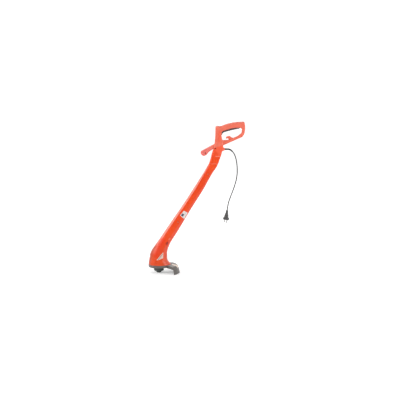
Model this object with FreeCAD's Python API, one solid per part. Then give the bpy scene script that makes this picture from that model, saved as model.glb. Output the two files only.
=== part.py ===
"""Corded string trimmer, split into the pieces it comes apart into on a bench.

Frame, in millimetres: +Z up, +X towards the operator, -X towards the cutting head, and
-Y the operator's left.  The origin is the centre of the rear grip, and y = 0 is the
parting plane of the moulded shells.
"""
import FreeCAD, Part
import math
import os

V = FreeCAD.Vector
os.makedirs("parts", exist_ok=True)

# ---------------------------------------------------------------- driving sizes
wall = 2.6                  # moulded wall of the shells
fit_gap = 0.15              # sliding gap between moulded pieces
run_gap = 0.05              # radial gap of a pin or shaft in its bore
seat_gap = 0.05             # gap between a screw's thread and its pilot

grip_half_depth = 19.0      # handle and column, half of their size across
grip_round = 8.0            # rounding of the handle's long edges
loop_half_depth = 13.0      # lower bar of the hand loop
loop_round = 5.0
stub_half_depth = 14.0      # fixed front grip
stub_round = 9.0
hook_half_depth = 7.0       # hook for the extension lead
hook_round = 2.0

column_end_z = -189.0       # lower rim of the handle shells
neck_top_z = column_end_z + 37.0    # top of the neck that plugs into the handle
shaft_top_z = column_end_z - 43.0   # upper rim of the shaft shells
base_z = -870.0             # where the motor housing meets the guard
spindle_x = -452.0          # axis of motor and cutting head

screw_r = 1.75              # thread of the shell screws
screw_head_r = 3.4
screw_head_h = 2.4
boss_wall = 2.4
screw_reach = 12.0          # thread beyond the parting plane
recess_floor = 5.0          # from the parting plane to a screw head's seat

cord_r = 3.0                # mains cord, 6 mm
lead_r = 2.2                # inner lead, two cores side by side


# ---------------------------------------------------------------- shape helpers
def cylinder(radius, length, base, axis=V(0, 0, 1)):
    return Part.makeCylinder(radius, length, V(*base), axis)


def ring(outer_r, inner_r, length, base, axis=V(0, 0, 1)):
    return cylinder(outer_r, length, base, axis).cut(cylinder(inner_r, length, base, axis))


def cone(r_start, r_end, length, base, axis=V(0, 0, 1)):
    return Part.makeCone(r_start, r_end, length, V(*base), axis)


def block(x0, x1, y0, y1, z0, z1):
    return Part.makeBox(x1 - x0, y1 - y0, z1 - z0, V(x0, y0, z0))


def fuse_all(shapes):
    first, rest = shapes[0], shapes[1:]
    return first.multiFuse(rest).removeSplitter() if rest else first


def corner_frame(before, here, after):
    """Unit directions into and out of an outline's corner, and its signed turn."""
    in_dir = (here - before).normalize()
    out_dir = (after - here).normalize()
    turn = math.atan2(in_dir.x * out_dir.z - in_dir.z * out_dir.x, in_dir.dot(out_dir))
    return in_dir, out_dir, turn


def rounded_outline(points):
    """Closed wire in the plane y = 0 through (x, z, corner radius) points."""
    corners = [V(x, 0, z) for x, z, _ in points]
    count = len(points)
    trims = []
    for i, (_, _, radius) in enumerate(points):
        in_dir, out_dir, turn = corner_frame(corners[i - 1], corners[i], corners[(i + 1) % count])
        reach = radius * math.tan(abs(turn) / 2)
        start, end = corners[i] - in_dir * reach, corners[i] + out_dir * reach
        bisector = (out_dir - in_dir).normalize()
        away = radius / math.cos(turn / 2) - radius
        trims.append((start, corners[i] + bisector * away, end, reach))
    edges = []
    for i, (start, middle, end, reach) in enumerate(trims):
        if reach > 1e-6:
            edges.append(Part.Arc(start, middle, end).toShape())
        following = trims[(i + 1) % count][0]
        if (following - end).Length > 1e-6:
            edges.append(Part.LineSegment(end, following).toShape())
    return Part.Wire(edges)


def inset(points, depth):
    """The same outline moved inwards by depth; points run clockwise seen from -Y."""
    corners = [V(x, 0, z) for x, z, _ in points]
    count = len(points)
    moved = []
    for i, (_, _, radius) in enumerate(points):
        in_dir, out_dir, turn = corner_frame(corners[i - 1], corners[i], corners[(i + 1) % count])
        in_normal = V(in_dir.z, 0, -in_dir.x)
        out_normal = V(out_dir.z, 0, -out_dir.x)
        bisector = (in_normal + out_normal).normalize()
        place = corners[i] + bisector * (depth / math.cos(turn / 2))
        new_radius = radius + depth if turn > 0 else max(radius - depth, 0.0)
        moved.append((place.x, place.z, new_radius))
    return moved


def prism(points, half_depth, centre_y=0.0):
    """Outline extruded to both sides of centre_y."""
    face = Part.Face(rounded_outline(points))
    solid = face.extrude(V(0, 2 * half_depth, 0))
    solid.translate(V(0, centre_y - half_depth, 0))
    return solid


def rounded_plate(points, half_depth, rounding):
    """Prism whose long edges on both sides are rounded."""
    solid = prism(points, half_depth)
    rims = [e for e in solid.Edges
            if abs(abs(e.CenterOfMass.y) - half_depth) < 1e-4]
    return solid.makeFillet(rounding, rims)


def egg_section(z, front_x, widest_x, rear_x, half_width, squareness, grow=0.0):
    """Closed curve in a level plane, with its own reach to the front and to the rear."""
    points = []
    count = 28
    for i in range(count):
        angle = 2 * math.pi * i / count
        c, s = math.cos(angle), math.sin(angle)
        reach = (rear_x - widest_x if c >= 0 else widest_x - front_x) + grow
        x = widest_x + reach * math.copysign(abs(c) ** (2 / squareness), c)
        y = (half_width + grow) * math.copysign(abs(s) ** (2 / squareness), s)
        points.append(V(x, y, z))
    curve = Part.BSplineCurve()
    curve.interpolate(points, PeriodicFlag=True)
    return Part.Wire(curve.toShape())


def egg_loft(stations, grow=0.0):
    return Part.makeLoft([egg_section(*station, grow) for station in stations], True, False)


far = 2000.0                # larger than the whole object


def left_half(shape):
    return shape.common(block(-far, far, -far, 0, -far, far))


def right_half(shape):
    return shape.common(block(-far, far, 0, far, -far, far))


def fastener(x, z, seat_y, length, side, head_r=screw_head_r):
    """Screw along Y: side -1 puts its head towards -Y.  seat_y is under its head."""
    axis = V(0, -side, 0)
    head_base = seat_y + side * screw_head_h
    head = cylinder(head_r, screw_head_h, (x, head_base, z), axis)
    drive = block(x - 0.5, x + 0.5, -0.6, 0.6, z - 2.2, z + 2.2)
    drive = drive.fuse(block(x - 2.2, x + 2.2, -0.6, 0.6, z - 0.5, z + 0.5))
    drive.translate(V(0, head_base, 0))
    shank = cylinder(screw_r, length, (x, seat_y, z), axis)
    return head.cut(drive).fuse(shank)


def save(name, shape):
    shape.exportStep("parts/%s.step" % name)
    solids = shape.Solids
    print("%-24s solids %d  volume %9.0f  valid %s"
          % (name, len(solids), sum(s.Volume for s in solids), shape.isValid()))


# ---------------------------------------------------------------- handle outlines
# Points are (x, z, corner radius), clockwise seen from the operator's left.
grip_outline = [
    (-100.5, 1.5, 9), (-68, -2, 45), (-30, 14, 60), (20, 24.5, 150), (80, 27.5, 12),
    (84, -18, 10), (60, -16, 9.5), (52, -8.5, 12), (0, -12.4, 90), (-60, -31, 14),
    (-64, -54, 30), (-59, -78, 60), (-51, -114, 40), (-52, -134, 40), (-73, -212, 9),
    (-134, -212, 9), (-116, -150, 200), (-105.5, -106, 120), (-101.5, -61, 200)]
loop_outline = [
    (62, 8, 6), (83.5, 8, 6), (83.8, -16, 60), (79.5, -44, 28), (68.5, -66, 26),
    (-46, -117, 10), (-72, -121, 6), (-76, -84, 6), (-58, -88, 9), (-22, -86.5, 30),
    (36, -62.5, 24), (60, -44, 18), (64, -14, 60)]
hook_outline = [
    (-37, -74, 2.6), (-30, -64, 7), (-12, -61, 8), (-2, -70, 6), (12, -76, 2.6),
    (12, -82, 2.6), (-18, -93, 2.6), (-19, -82, 5), (-25, -74.5, 4), (-33, -79.5, 2.6)]
stub_outline = [
    (-192, -173, 10), (-190.5, -156.5, 11), (-171, -146.5, 30), (-108, -112, 30),
    (-88, -108, 9.5), (-88, -134, 9.5), (-108, -138.5, 20), (-142, -162, 16),
    (-154, -179, 10), (-174, -188.5, 11)]
column_step = 1.0           # the column is set in below the loop's bar, down to its rim
column_rim_h = 3.5
column_step_outline = [
    (-140, -143.5, 0), (-30, -110.5, 0), (-30, column_end_z + column_rim_h, 0),
    (-160, column_end_z + column_rim_h, 0)]

cord_exit_z = -144.3        # axis of the cord's boss on the column
boss_root_x = -66.0
boss_tip_x = -42.0
boss_root_r = 18.0
boss_tip_r = 6.6
relief_r = 4.6              # strain relief where it passes through the boss

# ---------------------------------------------------------------- shaft stations
# (z, front x, widest x, rear x, half width, squareness) of level sections.
shoulder_h = 3.0            # slope from the neck out to the shaft
neck_half_width = grip_half_depth - wall - fit_gap
neck_stations = [
    (neck_top_z, -111, -86.5, -62, neck_half_width, 3.4),
    (column_end_z, -122.5, -97.3, -72.2, neck_half_width, 3.4),
    (shaft_top_z, -136.9, -111.8, -86.6, neck_half_width, 3.4),
    (shaft_top_z - 10, -140.6, -115.2, -89.8, neck_half_width, 3.4)]
collar_stations = [             # flush with the column in front and behind, and set in at the sides
    (column_end_z - 0.5, -126.2, -96.8, -67.4, neck_half_width, 3.4),
    (shaft_top_z, -139.2, -110.2, -81.3, neck_half_width, 3.4)]
shaft_stations = [
    (shaft_top_z - shoulder_h, -140.9, -112.4, -83.9, grip_half_depth, 2.9),
    (-278, -164.3, -140, -107.3, 19.5, 2.6),
    (-379, -226.9, -202, -164.3, 20, 2.5),
    (-505, -308, -282.5, -241.8, 21, 2.4),
    (-605.7, -376.3, -347, -301.3, 23, 2.4),
    (-681, -426.6, -394, -346.6, 27, 2.4),
    (-731.6, -461, -423, -378, 34, 2.35),
    (-769, -487.3, -442, -393.7, 42.5, 2.3),
    (-794.6, -501.2, -451, -399.3, 49, 2.15),
    (-819.7, -508.5, spindle_x, -399.5, 53.5, 2.05),
    (-845, -513.3, spindle_x, -396, 57.5, 2.0),
    (-858, -514.8, spindle_x, -387, 59, 2.0),
    (base_z, -515.5, spindle_x, -378, 60, 1.95)]
rail_step = 1.4             # rail along the front of each side, proud of the side
rail_inner_edge = [         # (x, z, corner radius) where the rail ends on the side
    (-146, -238, 0), (-151, -262, 20), (-216.4, -379, 60), (-297.5, -505, 60), (-365.8, -605.7, 60),
    (-416.1, -681, 60), (-452, -731.6, 60), (-486, -775, 30), (-507, -812, 0)]
wall_level = wall * 1.15    # the shaft leans, so its wall is thicker in a level cut

# ---------------------------------------------------------------- shell screws
# (x, z, y of the head's seat)
handle_screw_places = [(-162, -167, -recess_floor), (-101, -138, -recess_floor)]
shaft_screw_places = [(-145.7, -298.5, -13.0), (-332.3, -599.6, -15.0), (-400, -733, -12.0)]
pocket_outline = [              # long pocket over the lowest of them
    (-399.4, -721.6, 5.3), (-390.0, -727.4, 5.3), (-400.6, -744.4, 5.3), (-409.9, -738.6, 5.3)]
pocket_floor_y = -22.0
rear_screw_place = (74.5, 10, recess_floor)
joint_screw_place = (-93.0, -171)   # (x, z); its head sits on the right shell
head_boss_r = screw_head_r + 0.4 + boss_wall
pilot_boss_r = screw_r + seat_gap + boss_wall


def screw_bores(place, side):
    """Recess for a screw's head, and the clearance hole under it."""
    x, z, seat_y = place
    towards_head = V(0, side, 0)
    recess = cylinder(screw_head_r + 0.4, 100, (x, seat_y, z), towards_head)
    return recess.fuse(cylinder(screw_r + 0.3, abs(seat_y) + 1, (x, 0, z), towards_head))


def add_screw_bosses(head_shell, pilot_shell, outer, place, side):
    """Boss with a recess in the head's shell, and a boss with a pilot in the other."""
    x, z, _ = place
    towards_head = V(0, side, 0)
    head_boss = outer.common(cylinder(head_boss_r, 80, (x, 0, z), towards_head))
    pilot_boss = outer.common(cylinder(pilot_boss_r, 80, (x, 0, z), towards_head * -1))
    pilot = cylinder(screw_r + seat_gap, screw_reach + 1, (x, 0, z), towards_head * -1)
    head_shell = head_shell.fuse(head_boss).cut(screw_bores(place, side))
    pilot_shell = pilot_shell.fuse(pilot_boss).cut(pilot)
    return head_shell, pilot_shell


def shell_screw(place, side):
    x, z, seat_y = place
    length = abs(seat_y) + screw_reach
    return fastener(x, z, seat_y, length, side)


# ---------------------------------------------------------------- trigger sizes
pivot_x, pivot_z = 52.0, -4.0
pivot_pin_r = 2.0
pivot_pin_half = 15.0
pivot_eye_r = 5.0
trigger_half_width = 8.5
trigger_side_gap = 0.6
trigger_travel_deg = 4.4
trigger_outline = [
    (-66.5, -40, 6), (-61, -26, 6), (-48, -19.5, 12), (-12, -9, 12), (40, -3.5, 10),
    (54, -3, 1.6), (54, -8, 1.6), (48, -14.5, 3), (0, -25, 90), (-30, -33, 40),
    (-50, -39, 8), (-57.5, -46, 8), (-59, -56, 2.5), (-66, -56.5, 2.5)]
slot_outline = [
    (-74, -34, 2), (-62, -16, 4), (0, 0, 4), (58.5, 2, 2), (58.5, -12, 2), (50, -30, 2),
    (-40, -40, 2), (-55, -40, 2), (-55, -60, 2), (-74, -60, 2)]
spring_x = -44.0            # trigger spring, standing on the trigger's web
spring_seat_z = -18.0
spring_top_z = 0.5
spring_r = 4.0
spring_wire_r = 0.45


def outer_near(outer, place):
    """The part of the outer shape round one screw, which keeps each boss inside it."""
    x, z, _ = place
    return outer.common(block(x - 12, x + 12, -far, far, z - 12, z + 12))


def make_handle_shells():
    outer = fuse_all([
        rounded_plate(grip_outline, grip_half_depth, grip_round),
        rounded_plate(loop_outline, loop_half_depth, loop_round),
        rounded_plate(stub_outline, stub_half_depth, stub_round),
        cone(boss_root_r, boss_tip_r, boss_tip_x - boss_root_x,
             (boss_root_x, 0, cord_exit_z), V(1, 0, 0)),
        rounded_plate(hook_outline, hook_half_depth, hook_round)])
    outer = outer.cut(block(-far, far, -far, far, -far, column_end_z))
    for side in (-1, 1):
        middle_y = side * (far + grip_half_depth - column_step)
        outer = outer.cut(prism(column_step_outline, far, middle_y))
    cavity = fuse_all([
        rounded_plate(inset(grip_outline, wall), grip_half_depth - wall, grip_round - wall),
        rounded_plate(inset(loop_outline, wall), loop_half_depth - wall, loop_round - wall),
        rounded_plate(inset(stub_outline, wall), stub_half_depth - wall, stub_round - wall)])
    cavity = cavity.cut(block(-far, far, -far, far, -far, neck_top_z))
    socket = egg_loft(neck_stations, fit_gap)
    relief_bore = cylinder(relief_r + 0.05, 40, (boss_root_x - 10, 0, cord_exit_z), V(1, 0, 0))
    hollow = outer.cut(cavity).cut(socket).cut(relief_bore)
    spring_shelf = block(spring_x - 6, spring_x + 6, -6, 6, spring_top_z, 12)
    shelf = cavity.common(spring_shelf)
    eye_gap = trigger_half_width + trigger_side_gap
    pin_boss = cylinder(pivot_eye_r, 2 * grip_half_depth, (pivot_x, -grip_half_depth, pivot_z),
                        V(0, 1, 0))
    pin_boss = pin_boss.cut(block(-far, far, -eye_gap, eye_gap, -far, far))
    slot = prism(slot_outline, trigger_half_width + trigger_side_gap)
    hollow = fuse_all([hollow, shelf, outer.common(pin_boss)]).cut(slot)
    pin_bore = cylinder(pivot_pin_r, 2 * pivot_pin_half, (pivot_x, -pivot_pin_half, pivot_z),
                        V(0, 1, 0))
    hollow = hollow.cut(pin_bore)
    left, right = left_half(hollow), right_half(hollow)
    for place in handle_screw_places:
        left, right = add_screw_bosses(left, right, outer_near(outer, place), place, -1)
    place = rear_screw_place
    right, left = add_screw_bosses(right, left, outer_near(outer, place), place, 1)
    x, z = joint_screw_place
    joint_hole = cylinder(screw_r + 0.3, 2 * grip_half_depth, (x, 0, z), V(0, 1, 0))
    return left, right.cut(joint_hole)


def make_shaft_shells():
    outer = egg_loft(shaft_stations)
    neck = egg_loft(neck_stations)
    cavity = egg_loft(shaft_stations, -wall_level)
    cavity = cavity.common(block(-far, far, -far, far, base_z - 1, shaft_top_z - 9))
    neck_bore = egg_loft(neck_stations, -wall)
    shoulder = Part.makeLoft([egg_section(*collar_stations[-1]), egg_section(*shaft_stations[0])],
                             True, True)
    rail = egg_loft(shaft_stations, rail_step)
    rail_ends_z = rail_inner_edge[0][1], rail_inner_edge[-1][1]
    rail = rail.common(prism([(-far, rail_ends_z[0], 0)] + rail_inner_edge
                             + [(-far, rail_ends_z[1], 0)], far))
    hollow = fuse_all([outer, neck, egg_loft(collar_stations), shoulder, rail])
    hollow = hollow.cut(cavity).cut(neck_bore)
    left, right = left_half(hollow), right_half(hollow)
    for place in shaft_screw_places:
        left, right = add_screw_bosses(left, right, outer, place, -1)
    pocket_boss = prism(inset(pocket_outline, -boss_wall), far, pocket_floor_y + wall - far)
    left = left.fuse(outer.common(pocket_boss).cut(screw_bores(shaft_screw_places[-1], -1)))
    left = left.cut(prism(pocket_outline, far, pocket_floor_y - far))
    x, z = joint_screw_place
    joint_pilot = cylinder(screw_r + seat_gap, 60, (x, -30, z), V(0, 1, 0))
    return left.cut(joint_pilot), right.cut(joint_pilot)


# ---------------------------------------------------------------- guard
guard_wall = 3.0
tray_depth = 16.0           # rim of the tray under the motor housing
tray_lip = 1.0              # tray beyond the housing's base
sweep_deg = 41.0            # skirt to each side of straight back
skirt_r = 130.5             # lower edge of the skirt, from the spindle
skirt_top_r = 119.0
skirt_bottom_z = base_z - 52.0
skirt_round = 13.0
skirt_bend_r = 79.0         # where the guard's top starts to slope
skirt_bend_round = 25.0
skirt_drop = 7.0            # of the top, from the tray to the shoulder
rim_drop = 7.0              # of the rims' lower edge, from the tray to the skirt
guard_bore_r = 13.0
guard_screw_r = 53.0        # circle of the guard's screws
guard_screw_angles = [55, 125, 235, 305]
guard_screw_depth = 12.0
motor_screw_r = 39.0
motor_screw_angles = [90, 210, 330]

shoulder_z = base_z - skirt_drop


def skirt_radius(z):
    """Outer radius of the skirt at a level below its shoulder."""
    return skirt_top_r + (skirt_r - skirt_top_r) * (shoulder_z - z) / (shoulder_z - skirt_bottom_z)


skirt_outside = [
    (skirt_bend_r, base_z, skirt_bend_round), (skirt_top_r, shoulder_z, skirt_round),
    (skirt_r, skirt_bottom_z, 0)]
skirt_profile = [(0, base_z, 0)] + skirt_outside + [
    (skirt_r - guard_wall, skirt_bottom_z, 0),
    (skirt_top_r - guard_wall, shoulder_z - guard_wall, skirt_round - guard_wall),
    (skirt_bend_r, base_z - guard_wall, skirt_bend_round), (0, base_z - guard_wall, 0)]
rim_root_r = 45.0
rim_low_z = base_z - tray_depth - rim_drop
rim_sink = 1.0              # of a rim's outer edges into the skirt's wall
rim_profile = [
    (rim_root_r, base_z - rim_sink, 0), (skirt_bend_r, base_z - rim_sink, 0),
    (skirt_top_r - rim_sink, shoulder_z - rim_sink, skirt_round - rim_sink),
    (skirt_radius(rim_low_z) - rim_sink, rim_low_z, 0), (rim_root_r, base_z - tray_depth, 0)]


def about_spindle(shape, angle_deg):
    """Turn a shape drawn round the Z axis and set it on the spindle."""
    placed = shape.copy()
    placed.rotate(V(0, 0, 0), V(0, 0, 1), angle_deg)
    placed.translate(V(spindle_x, 0, 0))
    return placed


def on_spindle(radius, angle_deg):
    angle = math.radians(angle_deg)
    return spindle_x + radius * math.cos(angle), radius * math.sin(angle)


def spun_sector(profile, from_deg, to_deg):
    face = Part.Face(rounded_outline(profile))
    solid = face.revolve(V(0, 0, 0), V(0, 0, 1), to_deg - from_deg)
    return about_spindle(Part.Solid(solid) if solid.ShapeType == "Shell" else solid, from_deg)


def guard_fasteners(radius, angles):
    return [on_spindle(radius, angle) for angle in angles]


def make_guard():
    base = shaft_stations[-1]
    tray = Part.Face(egg_section(*base, tray_lip)).extrude(V(0, 0, -tray_depth))
    skirt = spun_sector(skirt_profile, -sweep_deg, sweep_deg)
    near_rim = about_spindle(prism(rim_profile, guard_wall / 2, guard_wall / 2), -sweep_deg)
    far_rim = about_spindle(prism(rim_profile, guard_wall / 2, -guard_wall / 2), sweep_deg)
    under_tray = Part.Face(egg_section(*base, tray_lip - guard_wall))
    under_tray = under_tray.extrude(V(0, 0, -tray_depth))
    under_tray.translate(V(0, 0, -guard_wall))
    guard = tray.multiFuse([skirt, near_rim, far_rim]).cut(under_tray)
    guard = guard.cut(cylinder(guard_bore_r, 2 * tray_depth, (spindle_x, 0, base_z - tray_depth)))
    for x, y in (guard_fasteners(guard_screw_r, guard_screw_angles)
                 + guard_fasteners(motor_screw_r, motor_screw_angles)):
        guard = guard.cut(cylinder(screw_r + 0.3, 20, (x, y, base_z - 10)))
    return guard.cut(cutter_rivet_hole())


def screw_up(x, y, length):
    """Screw from under the guard, pointing up."""
    seat = base_z - guard_wall
    head = cylinder(screw_head_r, screw_head_h, (x, y, seat - screw_head_h))
    drive = cylinder(1.4, 1.2, (x, y, seat - screw_head_h))
    return head.cut(drive).fuse(cylinder(screw_r, length, (x, y, seat)))


def add_guard_bosses(left, right, outer):
    for x, y in guard_fasteners(guard_screw_r, guard_screw_angles):
        boss = outer.common(cylinder(5.6, guard_screw_depth + 4, (x, y, base_z)))
        pilot = cylinder(screw_r + seat_gap, guard_screw_depth + 1, (x, y, base_z))
        if y < 0:
            left = left.fuse(boss).cut(pilot)
        else:
            right = right.fuse(boss).cut(pilot)
    return left, right


cutter_thickness = 1.2
cutter_width, cutter_height = 14.0, 21.0
cutter_outer_r = skirt_top_r - guard_wall - 3.0
cutter_inner_r = cutter_outer_r - cutter_width
cutter_top_z = shoulder_z - guard_wall - 2.0
cutter_outline = [
    (cutter_inner_r, cutter_top_z, 1), (cutter_outer_r, cutter_top_z, 1),
    (cutter_outer_r, cutter_top_z - cutter_height + 4, 1),
    (cutter_outer_r - 5, cutter_top_z - cutter_height, 1),
    (cutter_inner_r, cutter_top_z - cutter_height / 2, 1)]
rivet_r = 1.6
rivet_place = (cutter_outer_r - cutter_width / 2, cutter_top_z - 4.0)


def cutter_rivet_hole():
    r, z = rivet_place
    return about_spindle(cylinder(rivet_r, 20, (r, -10, z), V(0, 1, 0)), sweep_deg)


def make_cutter():
    plate = prism(cutter_outline, cutter_thickness / 2, -guard_wall - cutter_thickness / 2)
    return about_spindle(plate, sweep_deg).cut(cutter_rivet_hole())


def make_cutter_rivet():
    r, z = rivet_place
    inner = -guard_wall - cutter_thickness
    pin = cylinder(rivet_r, -inner, (r, inner, z), V(0, 1, 0))
    heads = [cylinder(rivet_r + 1.2, 0.9, (r, inner - 0.9, z), V(0, 1, 0)),
             cylinder(rivet_r + 1.2, 0.9, (r, 0, z), V(0, 1, 0))]
    return about_spindle(fuse_all([pin] + heads), sweep_deg)


# ---------------------------------------------------------------- motor
shaft_r = 4.0
bearing_r = 9.0
bearing_wall = 2.0
lower_plate_r = 46.0
lower_plate_h = 4.0
lower_bearing_z = base_z + 3.0
bearing_h = 9.0
fan_r = 23.5
fan_z = base_z + 13.5
fan_h = 8.5
stack_low_z = base_z + 28.0         # stator and armature laminations
stack_high_z = stack_low_z + 31.0
stator_r = 33.0
stator_bore_r = 16.5
stator_back = 6.5
armature_r = 15.9
commutator_r = 9.0
commutator_z = stack_high_z + 8.0
commutator_h = 14.0
brush_z = commutator_z + commutator_h / 2
brush_gap = 0.3
upper_plate_z = commutator_z + 17.0
upper_plate_h = 4.0
post_r = 3.6
post_circle_r = 29.0


def upright_ring(outer_r, inner_r, z0, z1):
    return ring(outer_r, inner_r, z1 - z0, (spindle_x, 0, z0))


def upright(radius, z0, z1):
    return cylinder(radius, z1 - z0, (spindle_x, 0, z0))


def wedge(radius, z0, z1, middle_deg, half_deg):
    """Slice of a cylinder round the spindle."""
    slice_ = Part.makeCylinder(radius, z1 - z0, V(0, 0, z0), V(0, 0, 1), 2 * half_deg)
    return about_spindle(slice_, middle_deg - half_deg)


def make_lower_bracket():
    bearing_top = lower_bearing_z + bearing_h
    shapes = [upright(lower_plate_r, base_z, base_z + lower_plate_h),
              upright(bearing_r + bearing_wall, base_z, bearing_top)]
    for angle in (0, 90, 180, 270):
        x, y = on_spindle(post_circle_r, angle + 45)
        shapes.append(cylinder(post_r, stack_low_z - base_z, (x, y, base_z)))
    bracket = fuse_all(shapes)
    bracket = bracket.cut(upright(bearing_r, lower_bearing_z, bearing_top + 1))
    bracket = bracket.cut(upright(shaft_r + 2.5, base_z - 1, bearing_top))
    for x, y in guard_fasteners(motor_screw_r, motor_screw_angles):
        bracket = bracket.cut(cylinder(screw_r + seat_gap, lower_plate_h + 2, (x, y, base_z - 1)))
    return bracket


def make_upper_bracket():
    plate_top = upper_plate_z + upper_plate_h
    bearing_low = upper_plate_z + 2.0
    shapes = [upright(stator_r, upper_plate_z, plate_top),
              upright(bearing_r + bearing_wall, upper_plate_z, bearing_low + bearing_h)]
    for angle in (0, 180):
        x, y = on_spindle(post_circle_r, angle)
        shapes.append(cylinder(post_r, plate_top - stack_high_z, (x, y, stack_high_z)))
    holder_top = brush_z + holder_half_h
    for side in (-1, 1):
        low, high = sorted((side * 13.0, side * 27.0))
        shapes.append(block(spindle_x - 4, spindle_x + 4, low, high, holder_top, upper_plate_z))
    bracket = fuse_all(shapes)
    bracket = bracket.cut(upright(bearing_r, bearing_low, plate_top + bearing_h))
    return bracket.cut(upright(shaft_r + 2.5, upper_plate_z - 1, plate_top))


holder_half_w = 4.6
holder_half_h = 5.0
brush_half_w = 2.5
brush_half_h = 3.0
brush_inner_y = commutator_r + brush_gap
brush_outer_y = 19.0
holder_inner_y = 11.0
holder_outer_y = 30.0
holder_cap = 1.6


def both_sides(shape):
    """The shape and its mirror image across the parting plane."""
    return [shape, shape.mirror(V(0, 0, 0), V(0, 1, 0))]


def spring_coil(radius, wire_r, length, turns, base, axis):
    """Coil spring standing on base along axis, with its ends cut square."""
    pitch = (length - 2 * wire_r) / turns
    helix = Part.makeHelix(pitch, length - 2 * wire_r, radius - wire_r)
    start = V(radius - wire_r, 0, 0)
    section = Part.Wire(Part.makeCircle(wire_r, start, V(0, 1, 0)))
    coil = Part.Wire(helix).makePipeShell([section], True, True)
    coil.translate(V(0, 0, wire_r))
    coil.Placement = FreeCAD.Placement(V(*base), FreeCAD.Rotation(V(0, 0, 1), axis)).multiply(
        coil.Placement)
    return coil


def make_brush_parts():
    x = spindle_x
    holder = block(x - holder_half_w, x + holder_half_w, holder_inner_y, holder_outer_y,
                   brush_z - holder_half_h, brush_z + holder_half_h)
    tunnel = block(x - brush_half_w - run_gap, x + brush_half_w + run_gap,
                   holder_inner_y - 1, holder_outer_y - holder_cap,
                   brush_z - brush_half_h - run_gap, brush_z + brush_half_h + run_gap)
    brush = block(x - brush_half_w, x + brush_half_w, brush_inner_y, brush_outer_y,
                  brush_z - brush_half_h, brush_z + brush_half_h)
    spring_length = holder_outer_y - holder_cap - brush_outer_y
    spring = spring_coil(2.2, 0.3, spring_length, 5, (x, brush_outer_y, brush_z), V(0, 1, 0))
    return both_sides(holder.cut(tunnel)), both_sides(brush), both_sides(spring)


def make_stator():
    core = upright_ring(stator_r, stator_r - stator_back, stack_low_z, stack_high_z)
    shoes = []
    for angle in (0, 180):
        shoe = wedge(stator_r - stator_back + 1, stack_low_z, stack_high_z, angle, 48)
        shoes.append(shoe.cut(upright(stator_bore_r, stack_low_z - 1, stack_high_z + 1)))
    return fuse_all([core] + shoes)


def make_field_coils():
    coils = []
    for angle in (90, 270):
        coil = wedge(stator_r - stator_back - 0.1, stack_low_z - 4, stack_high_z + 4, angle, 38)
        coils.append(coil.cut(upright(stator_bore_r + 0.6, stack_low_z - 5, stack_high_z + 5)))
    return coils


def make_armature_windings():
    low = upright_ring(armature_r - 1.5, shaft_r + 1, stack_low_z - 3.6, stack_low_z)
    high = upright_ring(armature_r - 1.5, shaft_r + 1, stack_high_z, stack_high_z + 4.5)
    return [low, high]


def make_fan():
    blades = []
    for i in range(9):
        blade = block(6, fan_r - 0.5, -0.8, 0.8, fan_z, fan_z + fan_h)
        blades.append(about_spindle(blade, 40 * i))
    disc = upright(fan_r, fan_z + fan_h - 1.5, fan_z + fan_h)
    hub = upright(8, fan_z, fan_z + fan_h)
    return fuse_all([disc, hub] + blades).cut(upright(shaft_r, fan_z - 1, fan_z + fan_h + 1))


# ---------------------------------------------------------------- cutting head
head_top_z = base_z - 7.0
head_top_r = 32.0
head_rim_z = head_top_z - 29.5
head_rim_r = 30.6
head_wall = 2.4
head_plate = 3.0
head_post_r = 7.5
head_post_low_z = head_top_z - 16.0
shaft_low_z = head_top_z - 13.0
shaft_high_z = upper_plate_z + 11.0
cover_low_z = head_rim_z - 6.0
cover_hole_r = 17.6
bump_travel = 5.0
spool_flange_r = 26.0
spool_core_r = 14.0
spool_bore_r = 11.6
flange_h = 2.0
spool_top_z = head_top_z - head_plate - bump_travel - 1.0
spool_low_z = head_rim_z + 1.0
spool_floor_h = 2.7
washer_h = 1.2
winding_r = 23.0
knob_r = 16.6
knob_shoulder_z = cover_low_z - 5.0
knob_low_z = knob_shoulder_z - 6.0
eyelet_z = head_rim_z + 12.5
eyelet_r = 3.2
eyelet_bore_r = 1.6


def make_head_housing():
    cup = cone(head_rim_r, head_top_r, head_top_z - head_rim_z, (spindle_x, 0, head_rim_z))
    inside = cone(head_rim_r - head_wall, head_top_r - head_wall,
                  head_top_z - head_plate - head_rim_z, (spindle_x, 0, head_rim_z))
    post = upright(head_post_r, head_post_low_z, head_top_z)
    collar = upright(10.5, head_top_z - 1, base_z - guard_wall + 1.5)
    housing = fuse_all([cup.cut(inside), post, collar])
    housing = housing.cut(upright(shaft_r, shaft_low_z, 0))
    for side in (-1, 1):
        housing = housing.cut(cylinder(eyelet_r + 0.05, 20, (spindle_x + side * 20, 0, eyelet_z),
                                       V(side, 0, 0)))
    return housing


def make_eyelets():
    eyelets = []
    for side in (-1, 1):
        axis = V(side, 0, 0)
        body = cylinder(eyelet_r, 4.6, (spindle_x + side * 28.2, 0, eyelet_z), axis)
        flange = cylinder(eyelet_r + 1.3, 1.2, (spindle_x + side * 31.8, 0, eyelet_z), axis)
        bore = cylinder(eyelet_bore_r, 20, (spindle_x + side * 20, 0, eyelet_z), axis)
        eyelets.append(body.fuse(flange).cut(bore))
    return eyelets


def make_head_cover():
    profile = [(cover_hole_r, head_rim_z, 0), (head_rim_r - 0.1, head_rim_z, 0),
               (head_rim_r - 0.1, head_rim_z - 3, 1), (cover_hole_r + 5, cover_low_z, 2),
               (cover_hole_r, cover_low_z, 0)]
    cover = spun_ring(profile)
    tab_outer, tab_inner = head_rim_r - head_wall - 0.15, spool_flange_r + 0.5
    for angle in (90, 270):
        tab = wedge(tab_outer, head_rim_z, head_rim_z + 6, angle, 14)
        cover = cover.fuse(tab.cut(upright(tab_inner, head_rim_z - 1, head_rim_z + 8)))
    return cover


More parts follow.
